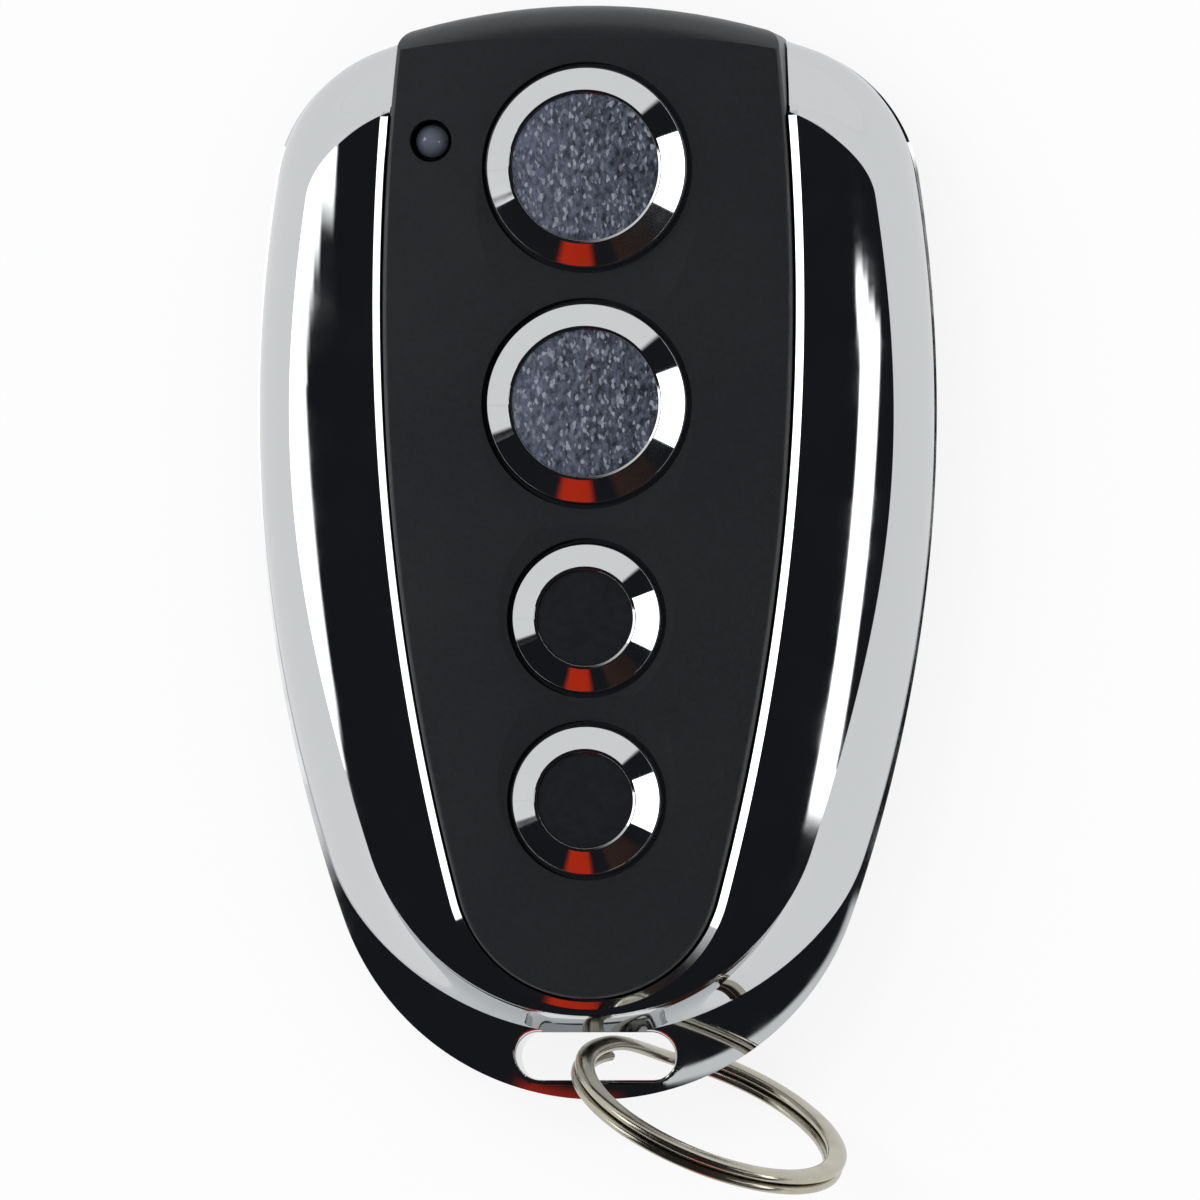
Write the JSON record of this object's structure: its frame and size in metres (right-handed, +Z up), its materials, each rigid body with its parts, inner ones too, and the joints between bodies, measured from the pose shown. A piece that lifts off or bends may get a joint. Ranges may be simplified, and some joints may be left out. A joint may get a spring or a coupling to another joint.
{
  "type": "gate remote control",
  "caption": "Egg-shaped key-fob remote with round push buttons in a black tongue, a plated metal frame and a split ring through the slot in its nose.",
  "frame": {"origin": "centre of the flat rear face that the remote lies on", "axes": "+Z up through the buttons, +Y along the body away from the key ring, +X to the right seen from the front"},
  "size_m": [0.04, 0.0695, 0.0164],
  "materials": {
    "chrome_plate": "mirror-bright chrome plating",
    "black_satin_plastic": "satin black with a fine moulded texture",
    "black_rear_plastic": "fine spark-eroded texture",
    "frosted_inlay": "sand-blasted blue-grey metal",
    "black_inlay": "near-black polished",
    "lamp_lens": "tinted clear epoxy",
    "nickel_steel": "nickel-plated spring steel",
    "zinc_screw_steel": "black-zinc steel",
    "board_green": "green solder mask",
    "chip_black": "moulded epoxy",
    "tinned_pins": "tinned",
    "ceramic_tan": "fired ceramic",
    "bare_copper": "bare copper",
    "cell_steel": "bright nickel-plated steel"
  },
  "bodies": {
    "housing": {"chrome_frame": "chrome_plate", "front_panel": "black_satin_plastic", "rear_cover": "black_rear_plastic", "cover_screws": "zinc_screw_steel", "circuit_board": "board_green", "status_lamp": "lamp_lens", "lamp_leads": "tinned_pins", "encoder_chip": "chip_black", "encoder_pins": "tinned_pins", "saw_resonator": "tinned_pins", "rf_transistor": "chip_black", "transistor_pins": "tinned_pins", "trimmer_capacitor": "ceramic_tan", "chip_resistors": "chip_black", "chip_capacitors": "ceramic_tan", "loop_antenna": "bare_copper", "coin_cell": "cell_steel", "battery_clip": "cell_steel", "battery_pad": "bare_copper", "switch_1_base": "chip_black", "switch_1_plate": "tinned_pins", "switch_1_dome": "tinned_pins", "switch_1_legs": "tinned_pins", "switch_2_base": "chip_black", "switch_2_plate": "tinned_pins", "switch_2_dome": "tinned_pins", "switch_2_legs": "tinned_pins", "switch_3_base": "chip_black", "switch_3_plate": "tinned_pins", "switch_3_dome": "tinned_pins", "switch_3_legs": "tinned_pins", "switch_4_base": "chip_black", "switch_4_plate": "tinned_pins", "switch_4_dome": "tinned_pins", "switch_4_legs": "tinned_pins"},
    "button_1": {"button_1_cap": "chrome_plate", "button_1_inlay": "frosted_inlay", "switch_1_plunger": "chip_black"},
    "button_2": {"button_2_cap": "chrome_plate", "button_2_inlay": "frosted_inlay", "switch_2_plunger": "chip_black"},
    "button_3": {"button_3_cap": "chrome_plate", "button_3_inlay": "black_inlay", "switch_3_plunger": "chip_black"},
    "button_4": {"button_4_cap": "chrome_plate", "button_4_inlay": "black_inlay", "switch_4_plunger": "chip_black"},
    "ring": {"key_ring": "nickel_steel"}
  },
  "joints": [
    {"name": "press_1", "type": "slide", "parent": "housing", "child": "button_1", "axis": [0, 0, -1], "range_m": [0, 0.00025], "stiffness_N_per_m": 6000, "deforming": ["switch_1_dome"]},
    {"name": "press_2", "type": "slide", "parent": "housing", "child": "button_2", "axis": [0, 0, -1], "range_m": [0, 0.00025], "stiffness_N_per_m": 6000, "deforming": ["switch_2_dome"]},
    {"name": "press_3", "type": "slide", "parent": "housing", "child": "button_3", "axis": [0, 0, -1], "range_m": [0, 0.00025], "stiffness_N_per_m": 6000, "deforming": ["switch_3_dome"]},
    {"name": "press_4", "type": "slide", "parent": "housing", "child": "button_4", "axis": [0, 0, -1], "range_m": [0, 0.00025], "stiffness_N_per_m": 6000, "deforming": ["switch_4_dome"]},
    {"name": "ring_swing", "type": "hinge", "parent": "housing", "child": "ring", "pos_m": [0.00105, -0.02894, 0.00446], "axis": [0.5679, 0.0473, -0.8217], "range_deg": [-35, 90]}
  ]
}
